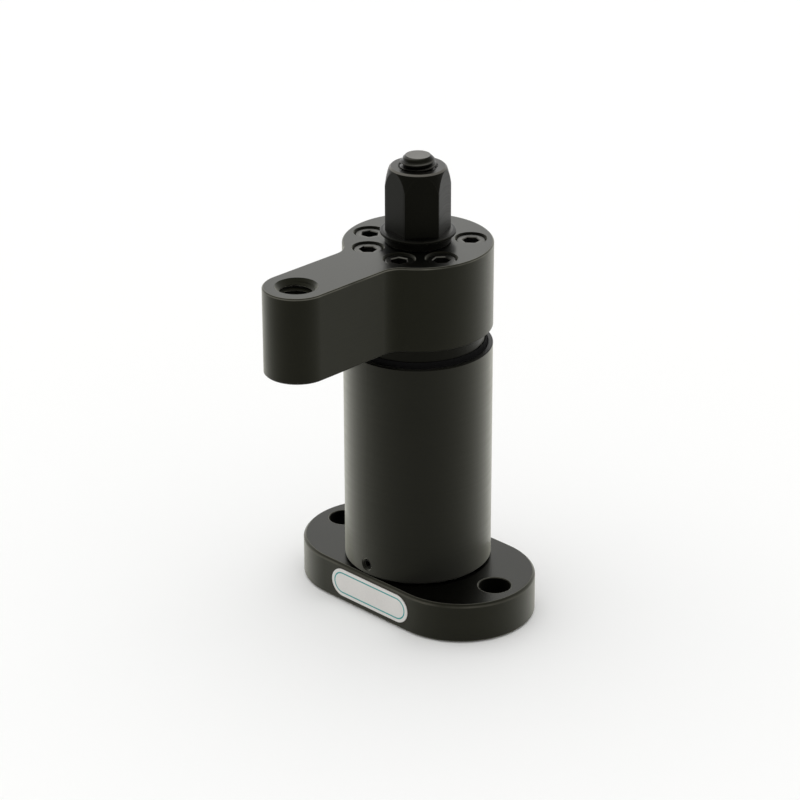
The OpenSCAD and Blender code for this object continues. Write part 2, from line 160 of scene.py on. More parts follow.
@dataclass(frozen=True)
class Finish:
    """One real surface finish, and the node material that is made from it.

    Sizes are in millimetres. The accent colour shows in soft clouds, and the worn colour on edges, at most
    by the share that is rubbed off. The patchiness is how far the roughness strays, the bloom is the haze of
    a porous coat where light grazes it, and the gloss is the mirror level of a finish that is not metal.
    """

    # A milled mark is this many times as long as it is wide
    MARK_STRETCH = 40
    # Octaves of the noise in the tool marks, the clouds and the grit
    MARK_DETAIL, CLOUD_DETAIL, GRIT_DETAIL = 3.0, 4.0, 2.0
    # Noise levels between which the accent, the rubbing and the roughness go from least to most
    ACCENT_SPAN, RUB_SPAN, ROUGH_SPAN = (0.12, 0.40), (0.35, 0.6), (0.6, 1.4)
    # Share of the rubbing where it is least, and height of the grit against the tool marks
    LEAST_RUB, GRIT_HEIGHT = 0.2, 0.25
    # Spread and warm tint of the haze
    BLOOM_SPREAD, BLOOM_TINT = 0.48, "#ffffec"

    name: str
    colour: str
    accent: str
    worn: str
    roughness: float
    metallic: float = 1.0
    gloss: float = 0.5
    grain: Grain = Grain.EVEN
    mark_mm: float = 0.5
    mark_depth_mm: float = 0.004
    patchiness: float = 0.06
    cloud_mm: float = 16.0
    cloud_share: float = 0.5
    grit_mm: float = 0.45
    rub: float = 0.3
    bloom: float = 0.0

    def material(self) -> bpy.types.Material:
        """Gives the Blender material of this finish, made on the first call."""
        return bpy.data.materials.get(self.name) or self._build()

    def _marks(self, tree: bpy.types.NodeTree, place: bpy.types.NodeSocket) -> bpy.types.NodeSocket:
        """Draws the tool marks as a grey pattern.

        Args:
            tree: The material's tree.
            place: The point in the frame, in metres.

        Returns:
            The socket with the pattern, from 0 to 1.
        """
        fine, long = 1 / (self.mark_mm * MM), 1 / (self.MARK_STRETCH * self.mark_mm * MM)
        if self.grain is Grain.TURNED:
            flat = add_node(tree, "ShaderNodeVectorMath", {1: (1, 1, 0)}, {0: place}, operation="MULTIPLY")
            radius = add_node(tree, "ShaderNodeVectorMath", None, {0: flat.outputs[0]}, operation="LENGTH")
            split = add_node(tree, "ShaderNodeSeparateXYZ", None, {0: place})
            feed = add_node(tree, "ShaderNodeMath", None, {0: radius.outputs["Value"], 1: split.outputs["Z"]})
            noise = add_node(tree, "ShaderNodeTexNoise", {"Scale": fine, "Detail": self.MARK_DETAIL},
                             {"W": feed.outputs[0]}, noise_dimensions="1D")
            return noise.outputs["Fac"]
        stretch = {Grain.ALONG_X: (long, fine, fine), Grain.ALONG_Y: (fine, long, fine),
                   Grain.EVEN: (fine, fine, fine)}[self.grain]
        scaled = add_node(tree, "ShaderNodeVectorMath", {1: stretch}, {0: place}, operation="MULTIPLY")
        noise = add_node(tree, "ShaderNodeTexNoise", {"Scale": 1.0, "Detail": self.MARK_DETAIL},
                         {"Vector": scaled.outputs[0]})
        return noise.outputs["Fac"]

    def _build(self) -> bpy.types.Material:
        """Builds the node tree of the finish.

        Returns:
            The new material.
        """
        made = bpy.data.materials.new(self.name)
        made.use_nodes = True
        tree = made.node_tree
        tree.nodes.clear()
        place = add_node(tree, "ShaderNodeTexCoord").outputs["Object"]
        marks = self._marks(tree, place)
        cloud, grit = [
            add_node(tree, "ShaderNodeTexNoise", {"Scale": 1 / (size * MM), "Detail": detail},
                     {"Vector": place}).outputs["Fac"]
            for size, detail in ((self.cloud_mm, self.CLOUD_DETAIL), (self.grit_mm, self.GRIT_DETAIL))]
        mixed = add_node(tree, "ShaderNodeMath", None, {0: cloud, 1: grit}, operation="MULTIPLY")
        share = add_node(tree, "ShaderNodeMapRange",
                         dict(enumerate((*self.ACCENT_SPAN, 0.0, self.cloud_share), 1)),
                         {0: mixed.outputs[0]})
        tint = add_node(tree, "ShaderNodeMix", {6: linear(self.colour), 7: linear(self.accent)},
                        {0: share.outputs[0]}, data_type="RGBA")
        rubbed = add_node(tree, "ShaderNodeAttribute", attribute_name=WORN)
        patchy = add_node(tree, "ShaderNodeMapRange",
                          dict(enumerate((*self.RUB_SPAN, self.LEAST_RUB * self.rub, self.rub), 1)),
                          {0: cloud})
        wear = add_node(tree, "ShaderNodeMath", None, {0: rubbed.outputs["Fac"], 1: patchy.outputs[0]},
                        operation="MULTIPLY")
        colour = add_node(tree, "ShaderNodeMix", {7: linear(self.worn)},
                          {0: wear.outputs[0], 6: tint.outputs[2]}, data_type="RGBA")
        blend = add_node(tree, "ShaderNodeMath", None, {0: marks, 1: cloud})
        least, most = self.roughness - self.patchiness, self.roughness + self.patchiness
        rough = add_node(tree, "ShaderNodeMapRange", dict(enumerate((*self.ROUGH_SPAN, least, most), 1)),
                         {0: blend.outputs[0]})
        height = add_node(tree, "ShaderNodeMath", {1: self.GRIT_HEIGHT}, {0: grit, 2: marks},
                          operation="MULTIPLY_ADD")
        bump = add_node(tree, "ShaderNodeBump", {"Strength": 1.0, "Distance": self.mark_depth_mm * MM},
                        {"Height": height.outputs[0]})
        shader = add_node(tree, "ShaderNodeBsdfPrincipled",
                          {"Metallic": self.metallic, "Specular IOR Level": self.gloss,
                           "Sheen Weight": self.bloom, "Sheen Roughness": self.BLOOM_SPREAD,
                           "Sheen Tint": linear(self.BLOOM_TINT)},
                          {"Base Color": colour.outputs[2], "Roughness": rough.outputs[0],
                           "Normal": bump.outputs[0]})
        add_node(tree, "ShaderNodeOutputMaterial", None, {"Surface": shader.outputs[0]})
        return made


# The fine rings of hardened and rolled steel: a feed of about 0.1 mm, drawn coarser so that it shows
FINE_RINGS = {"grain": Grain.TURNED, "mark_mm": 0.8, "mark_depth_mm": 0.002}

# Black oxide on a sawn and milled plate: a dull olive black that greys where light grazes it
PLATE = Finish("black_oxide_milled_plate", "#171711", "#1d1d16", "#6a685f", 0.40, grain=Grain.ALONG_X,
               mark_mm=0.6, mark_depth_mm=0.01, bloom=0.38)
# The plate's top: a lighter and slicker copy of the plate's black, a painted top light, which mirrors the
# tube on it
PLATE_TOP_LIT = Finish("black_oxide_plate_painted_top_light", "#2b2b27", "#31312c", "#4a4941", 0.26,
                    grain=Grain.ALONG_X, mark_mm=0.6, mark_depth_mm=0.001, patchiness=0.01, rub=0.15)
# Black oxide on the milled arm: a shade darker, with faint marks along it
ARM = Finish("black_oxide_milled_arm", "#12120c", "#181811", "#75736a", 0.38, grain=Grain.ALONG_Y,
             mark_mm=0.6, mark_depth_mm=0.01, rub=0.5, bloom=0.36)
# The arm's top: a lighter copy of the arm's black, a painted top light, which mirrors the washer and the nut
ARM_TOP_LIT = Finish("black_oxide_arm_painted_top_light", "#3a3a35", "#41413b", "#4a4941", 0.285,
                  grain=Grain.ALONG_Y, mark_mm=0.6, mark_depth_mm=0.002, patchiness=0.01, rub=0.2)
# Black oxide on turned steel: the same black with faint rings; the feed of 0.15 mm is drawn many times
# as coarse
TURNED = Finish("black_oxide_turned_steel", "#0d0d09", "#13130e", "#3a3933", 0.34, grain=Grain.TURNED,
                mark_mm=2.0, mark_depth_mm=0.015, rub=0.12, bloom=0.56)
# Black oxide on the ground spindle: a smooth black with a thin haze
SLIDING = Finish("black_oxide_ground_spindle", "#0e0e0b", "#141411", "#3a3933", 0.34, bloom=0.22,
                 **FINE_RINGS)
# Black oxide on the hardened nut and washer: a deeper black with hardly any haze, also laid as painted shade
# It paints the shade on the plate's hole walls, the arm's lower chamfer, and the tube's foot chamfer and rim
# top
# On the washer under the nut's flange, its deeper black is partly painted shade
HARDENED_AND_SHADE = Finish("black_oxide_hardened_and_painted_shade", "#0f0f0c", "#151511", "#45433d", 0.38, rub=0.12, bloom=0.04,
                  **FINE_RINGS)
# The nut's top and its flange's slope: a lighter copy of the nut's black, a painted top light
NUT_TOP_LIT = Finish("black_oxide_nut_painted_top_light", "#2a2925", "#31302b", "#57554f", 0.30, patchiness=0.02, **FINE_RINGS)
# Black oxide on rolled screws: a thin coat that lets more of the grey steel through
SCREW = Finish("black_oxide_rolled_screws", "#3d3d38", "#484742", "#7d7b75", 0.30, patchiness=0.02, rub=0.5,
               **FINE_RINGS)
# Black oxide on the stud's rolled thread: dark in the roots, grey on the crests that the nut rubs
ROLLED = Finish("black_oxide_rolled_thread", "#12120e", "#181813", "#7d7b75", 0.34, **FINE_RINGS)
# The end of the stud and the top edge of the nut: a pale grey, partly bare steel where the thin coat is
# rubbed off, partly a painted top light on the stud's end and a painted highlight along the nut's top edge
WORN_END_AND_HIGHLIGHT = Finish("black_oxide_worn_end_and_painted_highlight", "#55534e", "#605e58", "#7d7b75", 0.34, grain=Grain.TURNED,
                  mark_mm=0.8)
# Hardened and ground steel: a bright cool grey with very fine rings
GROUND = Finish("ground_steel", "#b9b9b6", "#a9a9a5", "#cfcfcc", 0.25, grain=Grain.TURNED, mark_mm=0.3,
                mark_depth_mm=0.002)
# Oiled patented spring wire: a darker grey with a greasy gloss
SPRING_WIRE = Finish("oiled_spring_wire", "#85847f", "#6d6b66", "#9c9b97", 0.30, mark_mm=0.4)
# Turned bearing bronze: a warm yellow brown that has gone a little dull
BRONZE = Finish("turned_bearing_bronze", "#b08a4c", "#93703b", "#cda968", 0.35, grain=Grain.TURNED,
                mark_mm=0.4)
# Moulded nitrile rubber: a neutral black that hardly shines
RUBBER = Finish("moulded_nitrile_rubber", "#060606", "#0a0a0a", "#101010", 0.9, metallic=0.0, gloss=0.12,
                mark_mm=0.6, mark_depth_mm=0.006)
# Filled bearing plastic: a dull green grey with fine specks
BEARING_PLASTIC = Finish("filled_bearing_plastic", "#4a5351", "#3f4846", "#5a6361", 0.55, metallic=0.0)
# Polyester label film: a pale warm grey with a soft gloss and a slight unevenness
LABEL_FILM = Finish("polyester_label_film", "#d3d1cd", "#c6c4c0", "#dedcd8", 0.42, metallic=0.0, mark_mm=0.8,
                    mark_depth_mm=0.003, cloud_mm=9.0)
# Screen-printed ink on the film: a thin teal line
LABEL_INK = Finish("screen_printed_teal_ink", "#2f8d8b", "#3a9895", "#4aa3a0", 0.45, metallic=0.0)


@dataclass(frozen=True)
class Stop:
    """One point of a profile, with its wear and the ink of the band that follows it."""

    out: float
    up: float
    worn: float = 0.0
    ink: Ink = Ink.MAIN


# Most of a side that a round may take, and where the plain stops beside it stand, in reaches of the round
ROUND_SHARE = 0.3
ROUND_GUARD = 1.4


def soften(corners: Sequence[Flat], radius: float, steps: int = 3) -> list[Stop]:
    """Rounds the inner corners of a profile and marks the rounds as worn.

    A plain stop stands on both sides of each round, so that the faces beside it shade flat.

    Args:
        corners: Pairs of distance out and height, from one end of the profile to the other.
        radius: Reach of a round along both of its sides.
        steps: Faces across a round.

    Returns:
        The stops of the softened profile.
    """
    stops = [Stop(*corners[0])]
    for before, here, after in zip(corners, corners[1:], corners[2:]):
        back, on = Vector(before) - Vector(here), Vector(after) - Vector(here)
        reach = min(radius, back.length * ROUND_SHARE, on.length * ROUND_SHARE)
        start, end = back.normalized() * reach, on.normalized() * reach
        stops.append(Stop(*(Vector(here) + ROUND_GUARD * start)))
        for step in range(steps + 1):
            share = step / steps
            bent = Vector(here) + (1 - share) ** 2 * start + share ** 2 * end
            stops.append(Stop(bent.x, bent.y, 1.0))
        stops.append(Stop(*(Vector(here) + ROUND_GUARD * end)))
    return [*stops, Stop(*corners[-1])]


def plain(corners: Sequence[Flat], ink: Ink = Ink.MAIN) -> list[Stop]:
    """Gives a profile with its corners left sharp and unworn, in one ink."""
    return [Stop(*corner, ink=ink) for corner in corners]


def arc(centre: Flat, radius: float, start: float, end: float, steps: int) -> list[Flat]:
    """Gives points along an arc, both ends included, between two angles in degrees."""
    angles = [math.radians(start + (end - start) * k / steps) for k in range(steps + 1)]
    return [(centre[0] + radius * math.cos(a), centre[1] + radius * math.sin(a)) for a in angles]


def circle(columns: int, centre: Flat = (0.0, 0.0)) -> Outline:
    """Gives the outline of a turned piece, whose distance out is its radius."""
    return lambda out: arc(centre, out, 0, 360, columns)[:-1]


def slot(half_len: float, half_w: float, steps: int) -> Outline:
    """Gives the outline of a bar with round ends, whose distance out is counted from its full size."""
    shift = half_len - half_w
    return lambda out: [*arc((shift, 0), half_w + out, -90, 90, steps),
                        *arc((-shift, 0), half_w + out, 90, 270, steps)]


def ridge(phase: float) -> float:
    """Gives the height of a metric thread, from 0 in the root to 1 on the crest in mid-pitch."""
    crest, flank = 1 / 16, 5 / 16
    return min(1.0, max(0.0, 1 - (abs(phase % 1 - 0.5) - crest) / flank))


class Draft:
    """Points and faces of one piece, gathered in millimetres before its mesh is made."""

    # Pitch of the M12 threads on the stud, in the nut and in the arm
    PITCH = 1.75
    # Places across one pitch where a thread bends, and the middles between them
    PHASES = (0.0, 0.125, 0.28125, 0.4375, 0.5, 0.5625, 0.71875, 0.875)
    # Turn of every thread about Z, which sets where the stud's last crest runs out
    START = 0.801
    # Spare turns below and above a thread, which its ends cut off
    SPARE_BELOW, SPARE_ABOVE = 2, 1
    # Option that fills inside the given edges only, and the distance below which points are one
    INSIDE, MERGE = 1, 1e-6
    # Lead-in and pointed bottom of a socket as shares of its flats, and the wear down its wall
    SOCKET_LEAD, SOCKET_POINT = 0.06, 0.2
    SOCKET_WEAR = (0.6, 0.3, 0.0)

    def __init__(self) -> None:
        """Starts an empty draft."""
        self.points: list[Vector] = []
        self.worn: list[float] = []
        self.faces: list[Ring] = []
        self.inks: list[Ink] = []

    def point(self, place: Sequence[float], worn: float = 0.0) -> int:
        """Adds a point.

        Args:
            place: Where it lies.
            worn: How worn it is, from 0 to 1.

        Returns:
            The point's number.
        """
        self.points.append(Vector(place))
        self.worn.append(worn)
        return len(self.points) - 1

    def face(self, corners: Ring, ink: Ink = Ink.MAIN) -> None:
        """Adds a face, without the corners that come twice.

        Args:
            corners: Its points in order.
            ink: The finish that it shows.
        """
        kept = list(dict.fromkeys(corners))
        if len(kept) > 2:
            self.faces.append(kept)
            self.inks.append(ink)

    def bridge(self, low: Ring, high: Ring, ink: Ink = Ink.MAIN) -> None:
        """Joins two rings of as many points by a band of faces.

        Args:
            low: The first ring.
            high: The second ring.
            ink: The finish that the band shows.
        """
        for i, here in enumerate(low):
            k = (i + 1) % len(low)
            self.face([here, low[k], high[k], high[i]], ink)

    def wall(self, stops: Sequence[Stop], outline: Outline, closed: bool = False) -> Ends:
        """Draws the wall that a profile sweeps along an outline.

        Args:
            stops: The profile.
            outline: The outline at a distance out.
            closed: Whether the last stop joins the first.

        Returns:
            The first and the last ring.
        """
        rings = [[self.point((x, y, s.up), s.worn) for x, y in outline(s.out)] for s in stops]
        for stop, low, high in zip(stops, rings, rings[1:] + rings[:1] if closed else rings[1:]):
            self.bridge(low, high, stop.ink)
        return rings[0], rings[-1]

    def fill(self, *loops: Ring, ink: Ink = Ink.MAIN) -> None:
        """Fills the level face inside the first loop and outside the others.

        Args:
            loops: The outer loop, then the loops of the holes, which are convex.
            ink: The finish that the face shows.
        """
        flat = [i for loop in loops for i in loop]
        edges, start = [], 0
        for loop in loops:
            edges += [(start + k, start + (k + 1) % len(loop)) for k in range(len(loop))]
            start += len(loop)
        spots = [self.points[i].xy for i in flat]
        _, _, faces, origins, _, _ = delaunay_2d_cdt(spots, edges, [], self.INSIDE, self.MERGE)
        holes = [set(loop) for loop in loops[1:]]
        for corners in faces:
            triangle = [flat[origins[c][0]] for c in corners]
            if not any(hole.issuperset(triangle) for hole in holes):
                self.face(triangle, ink)

    def thread(self, low: float, high: float, shape: ThreadShape, columns: int,
               centre: Flat = (0.0, 0.0)) -> Ends:
        """Draws a right-hand threaded wall, whose turns are counted from the frame's origin.

        Args:
            low: Height of the lower end.
            high: Height of the upper end.
            shape: Radius and wear at a phase across the pitch and a height.
            columns: Points around.
            centre: Axis of the thread.

        Returns:
            The lowest and the highest ring.
        """
        def spot(column: int, up: float) -> int:
            """Adds one point of the thread.

            Args:
                column: Its place around.
                up: Its height.

            Returns:
                The point's number.
            """
            turn = column / columns
            out, worn = shape(up / self.PITCH - turn + self.START, up)
            angle = 2 * math.pi * turn
            x, y = centre[0] + out * math.cos(angle), centre[1] + out * math.sin(angle)
            return self.point((x, y, up), worn)

        foot = [spot(c, low) for c in range(columns)]
        head = [spot(c, high) for c in range(columns)]
        turns = range(math.floor(low / self.PITCH) - self.SPARE_BELOW,
                      math.ceil(high / self.PITCH) + self.SPARE_ABOVE)
        rises = [turn + phase for turn in turns for phase in self.PHASES]
        grid = []
        for column in range(columns):
            ups = [self.PITCH * (rise + column / columns - self.START) for rise in rises]
            grid.append([foot[column] if up <= low else head[column] if up >= high else spot(column, up)
                         for up in ups])
        grid.append(grid[0][len(self.PHASES):])
        for left, right in zip(grid, grid[1:]):
            for a, b, c, d in zip(left, right, right[1:], left[1:]):
                self.face([a, b, c, d])
        return foot, head

    def tap(self, low: float, high: float, radius: float, depth: float, mouth: float, columns: int,
            centre: Flat = (0.0, 0.0)) -> Ends:
        """Draws a tapped hole, widened at both mouths.

        Args:
            low: Height of the lower mouth.
            high: Height of the upper mouth.
            radius: Radius in the roots of the thread.
            depth: Depth of the thread.
            mouth: How much wider the mouths are.
            columns: Points around.
            centre: Axis of the hole.

        Returns:
            The lowest and the highest ring.
        """
        def cut(phase: float, up: float) -> tuple[float, float]:
            """Radius and wear of the hole, whose crests lie half a pitch from a stud's."""
            flare = radius + mouth - min(up - low, high - up)
            return max(radius - depth * ridge(phase + 0.5), flare), 0.0

        return self.thread(low, high, cut, columns, centre)

    def socket(self, rim: Ring, centre: Flat, top: float, flats: float, depth: float, turn: float) -> None:
        """Closes the top of a screw with a hexagon socket.

        Args:
            rim: The ring around the top face.
            centre: Axis of the screw.
            top: Height of the top face.
            flats: Size of the socket across its flats.
            depth: Depth of the socket.
            turn: Angle of the socket in degrees.
        """
        lead = flats * self.SOCKET_LEAD
        corner = flats / 2 / math.cos(HEX_HALF)
        levels = ((corner + lead, top), (corner, top - lead), (corner, top - depth))
        rings = [[self.point((x, y, up), worn) for x, y in arc(centre, out, turn, turn + 360, 6)[:-1]]
                 for (out, up), worn in zip(levels, self.SOCKET_WEAR)]
        self.fill(rim, rings[0])
        self.bridge(rings[0], rings[1])
        self.bridge(rings[1], rings[2])
        bottom = self.point((*centre, top - depth - flats * self.SOCKET_POINT))
        for i, here in enumerate(rings[2]):
            self.face([here, rings[2][(i + 1) % 6], bottom])

    def face_front(self, place: Sequence[float]) -> None:
        """Turns the draft's top to the front, towards -Y, and moves its origin to a place."""
        turned = Matrix.Translation(place) @ Matrix.Rotation(math.pi / 2, 4, "X")
        self.points = [turned @ p for p in self.points]

    def make(self, name: str, body: str, finishes: Sequence[Finish],
             replaces: Sequence[str] = ()) -> bpy.types.Object:
        """Makes the piece, and lets it ride on its body.

        Args:
            name: Name of the piece.
            body: CAD body that carries it.
            finishes: Finishes in the order of the faces' inks.
            replaces: CAD nodes that the piece stands for.

        Returns:
            The new object.
        """
        mesh = bpy.data.meshes.new(name)
        mesh.from_pydata([p * MM for p in self.points], [], self.faces)
        mesh.polygons.foreach_set("material_index", self.inks)
        mesh.attributes.new(WORN, "FLOAT", "POINT").data.foreach_set("value", self.worn)
        work = bmesh.new()
        work.from_mesh(mesh)
        bmesh.ops.delete(work, geom=[v for v in work.verts if not v.link_faces], context="VERTS")
        bmesh.ops.recalc_face_normals(work, faces=work.faces)
        open_edges = sum(not e.is_manifold for e in work.edges)
        work.to_mesh(mesh)
        work.free()
        mesh.shade_smooth()
        mesh.set_sharp_from_angle(angle=math.radians(SHARP_TURN))
        for finish in finishes:
            mesh.materials.append(finish.material())
        made = add_object(name, mesh)
        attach(made, body)
        if replaces:
            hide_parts(*replaces)
        LOG.info("%s: %d faces, %d open edges", name, len(mesh.polygons), open_edges)
        return made


def dress(node: str, finish: Finish) -> None:
    """Gives a CAD node its finish.

    Args:
        node: The node's name.
        finish: The finish to show.
    """
    mesh = frame["nodes"][node].data
    mesh.materials.clear()
    mesh.materials.append(finish.material())
    LOG.info("%s: dressed as %s", node, finish.name)


@dataclass
class Foot:
    """The base plate with its label and the lock nut underneath."""

    top_edge: float = 0.8
    low_edge: float = 0.4
    soft: float = 0.3
    hole_edge: float = 0.2
    recess_gap: float = 0.3
    fit: float = 0.05
    steps: int = 40
    hole_columns: int = 56
    film_steps: int = 20
    film_soft: float = 1 / 3
    frame_inset: float = 1.15
    frame_line: float = 0.5

    def build(self) -> None:
        """Builds the plate and the label, and dresses the lock nut."""
        self.build_plate()
        self.build_label()
        dress("stud_lock_nut", HARDENED_AND_SHADE)

    def build_plate(self) -> None:
        """Builds the plate with chamfered edges, fixing holes, and the turned spigot and recess."""
        high = box_mm("base_plate")[1]
        top = box_mm("body_tube")[0].z
        bolts = mount("base_bolts")["dims"]
        draft = Draft()
        edge = [(-self.low_edge - BAND, 0), (-self.low_edge, 0), (0, self.low_edge), (0, top - self.top_edge),
                (-self.top_edge, top), (-self.top_edge - BAND, top)]
        outer = draft.wall(soften(edge, self.soft), slot(high.x, high.y, self.steps))
        hole_r, e = bolts["hole_r_mm"], self.hole_edge
        hole = [(hole_r + e + BAND, 0), (hole_r + e, 0), (hole_r, e), (hole_r, top - e), (hole_r + e, top),
                (hole_r + e + BAND, top)]
        # The long wall between the two edges of a hole takes the deeper black as painted shade inside the
        # hole
        shaded_bore = [replace(stop, ink=Ink.THIRD if e < stop.up < top / 2 else Ink.MAIN)
                 for stop in soften(hole, self.soft)]
        rings = [outer]
        for side in (-1, 1):
            centre = (side * bolts["spacing_x_mm"] / 2, 0)
            rings.append(draft.wall(shaded_bore, circle(self.hole_columns, centre)))
        spigot = draft.wall(plain(self.spigot(top, high.z)), circle(2 * self.steps))
        draft.fill(*[low for low, _ in rings], spigot[1])
        # The top takes the lighter copy of the plate's black, a painted top light
        draft.fill(*[up for _, up in rings], spigot[0], ink=Ink.SECOND)
        draft.make("base_plate_milled", "root", [PLATE, PLATE_TOP_LIT, HARDENED_AND_SHADE],
                   ["base_plate"])

    def spigot(self, top: float, high: float) -> list[Flat]:
        """Gives the profile of the spigot, the seats inside it and the recess under it.

        Args:
            top: Height of the plate.
            high: Height of the spigot.

        Returns:
            The corners, from the plate's top over the spigot and through to the underside.
        """
        out = box_mm("lower_guide_ring")[1].x - self.fit
        screw_low, screw_high = box_mm("tube_set_screw")
        ring_low, ring_high = box_mm("tube_o_ring")
        post_low, post_high = box_mm("cam_post")
        nut_high = box_mm("stud_lock_nut")[1]
        groove = -screw_high.y - self.fit
        ring_floor = ring_high.x - (ring_high.z - ring_low.z) - self.fit
        post = post_high.x + self.fit
        stud = box_mm("centre_stud")[1].x + self.fit
        recess = nut_high.y + self.recess_gap
        return [(out, top), (out, screw_low.z), (groove, screw_low.z), (groove, screw_high.z),
                (out, screw_high.z), (out, ring_low.z), (ring_floor, ring_low.z), (ring_floor, ring_high.z),
                (out, ring_high.z), (out, high), (post, high), (post, post_low.z), (stud, post_low.z),
                (stud, nut_high.z), (recess, nut_high.z), (recess, 0)]

    def build_label(self) -> None:
        """Builds the blank film label with a plain printed line around it."""
        low, high = box_mm("label")
        size = high - low
        draft = Draft()
        outline = slot(size.x / 2, size.z / 2, self.film_steps)
        edge = [(-BAND, 0), (0, 0), (0, size.y), (-BAND, size.y)]
        back, rim = draft.wall(soften(edge, size.y * self.film_soft), outline)
        lines = [[draft.point((x, y, size.y)) for x, y in outline(-inset)]
                 for inset in (self.frame_inset, self.frame_inset + self.frame_line)]
        draft.fill(back)
        draft.bridge(rim, lines[0])
        draft.bridge(lines[0], lines[1], ink=Ink.SECOND)
        draft.fill(lines[1])
        middle = (low + high) / 2
        draft.face_front((middle.x, high.y, middle.z))
        draft.make("label_film", "root", [LABEL_FILM, LABEL_INK], ["label"])


@dataclass
class Barrel:
    """The body tube with its set screw, wiper and guide rings.

    The drill starts at a share of the tube's radius, and the screw's socket is a share of its length deep.
    """

    foot_edge: float = 0.8
    rim_edge: float = 0.3
    fit: float = 0.05
    run: float = 0.04
    columns: int = 180
    hole_flare: float = 0.3
    drill_start: float = 0.5
    drill_past: float = 1.0
    drill_columns: int = 48
    screw_edge: float = 0.4
    screw_band: float = 0.125
    screw_soft: float = 0.12
    screw_columns: int = 36
    socket_flats: float = 2.0
    socket_depth: float = 0.5
    socket_turn: float = 10.0
    lip: float = 0.7
    lip_soft: float = 0.15

    def build(self) -> None:
        """Builds the tube, the set screw and the wiper, and dresses the other rings."""
        self.build_tube()
        self.build_set_screw()
        self.build_wiper()
        dress("tube_o_ring", RUBBER)
        dress("upper_guide_ring", BRONZE)
        dress("lower_guide_ring", BEARING_PLASTIC)

    def build_tube(self) -> None:
        """Builds the turned tube and drills the hole of the set screw through its wall."""
        low, high = box_mm("body_tube")
        out, foot, rim = high.x, low.z, high.z
        bore = box_mm("lower_guide_ring")[1].x + self.run
        seat = box_mm("wiper_ring")[1].x + self.fit
        mouth = box_mm("wiper_ring")[0].z - self.fit
        guide_low, guide_high = box_mm("upper_guide_ring")
        # The foot's chamfer and the rim's top take the deeper black as painted shade, in the gap at the foot
        # and under the arm
        seam = plain([(bore, foot), (out - self.foot_edge, foot)], Ink.SECOND)
        shaded_rim = plain([(out, rim - self.rim_edge), (out - self.rim_edge, rim), (seat, rim), (seat, mouth)],
                         Ink.SECOND)
        inside = plain([(bore, mouth), (bore, guide_high.z), (seat, guide_high.z), (seat, guide_low.z),
                        (bore, guide_low.z)])
        draft = Draft()
        draft.wall([*seam, Stop(out, foot + self.foot_edge), *shaded_rim, *inside], circle(self.columns),
                   closed=True)
        tube = draft.make("body_tube_turned", "root", [TURNED, HARDENED_AND_SHADE], ["body_tube"])
        self.drill(tube, out)

    def drill(self, tube: bpy.types.Object, out: float) -> None:
        """Cuts the flared hole of the set screw.

        Args:
            tube: The tube's piece.
            out: Outer radius of the tube.
        """
        low, high = box_mm("tube_set_screw")
        radius = (high.x - low.x) / 2 + self.fit
        flared = radius + self.hole_flare
        cutter = Draft()
        foot, head = cutter.wall(
            plain([(radius, out * self.drill_start), (radius, out - self.hole_flare), (flared, out),
                   (flared, out + self.drill_past)]), circle(self.drill_columns))
        cutter.fill(foot)
        cutter.fill(head)
        cutter.face_front((0, 0, (low.z + high.z) / 2))
        tool = cutter.make("set_screw_drill", "root", [TURNED])
        cut = tube.modifiers.new("set_screw_hole", "BOOLEAN")
        cut.object = tool
        cut.solver = "EXACT"
        graph = bpy.context.evaluated_depsgraph_get()
        drilled = bpy.data.meshes.new_from_object(tube.evaluated_get(graph))
        tube.modifiers.clear()
        tube.data = drilled
        bpy.data.objects.remove(tool)
        drilled.set_sharp_from_angle(angle=math.radians(SHARP_TURN))

    def build_set_screw(self) -> None:
        """Builds the set screw in its hole."""
        low, high = box_mm("tube_set_screw")
        radius, length = (high.x - low.x) / 2, high.y - low.y
        e = self.screw_edge
        inner = radius - e
        draft = Draft()
        foot, head = draft.wall(
            soften([(inner - BAND, 0), (inner, 0), (radius, e), (radius, length - e), (inner, length),
                    (inner - self.screw_band, length)], self.screw_soft), circle(self.screw_columns))
        draft.fill(foot)
        draft.socket(head, (0, 0), length, self.socket_flats, length * self.socket_depth, self.socket_turn)
        draft.face_front((0, high.y, (low.z + high.z) / 2))
        draft.make("tube_set_screw_socket", "root", [HARDENED_AND_SHADE], ["tube_set_screw"])

    def build_wiper(self) -> None:
        """Builds the wiper ring with a soft sloping lip."""
        low, high = box_mm("wiper_ring")
        rim = box_mm("body_tube")[1].z
        bore = box_mm("upper_guide_ring")[1].x - (high.x - box_mm("swing_spindle")[1].x - self.run)
        draft = Draft()
        corners = [(bore, low.z), (high.x, low.z), (high.x, rim), (bore + self.lip, rim),
                   (bore + self.lip / 2, high.z), (bore, high.z), (bore, low.z)]
        draft.wall(soften(corners, self.lip_soft)[:-1], circle(self.columns), closed=True)
        draft.make("wiper_ring_lip", "root", [RUBBER], ["wiper_ring"])


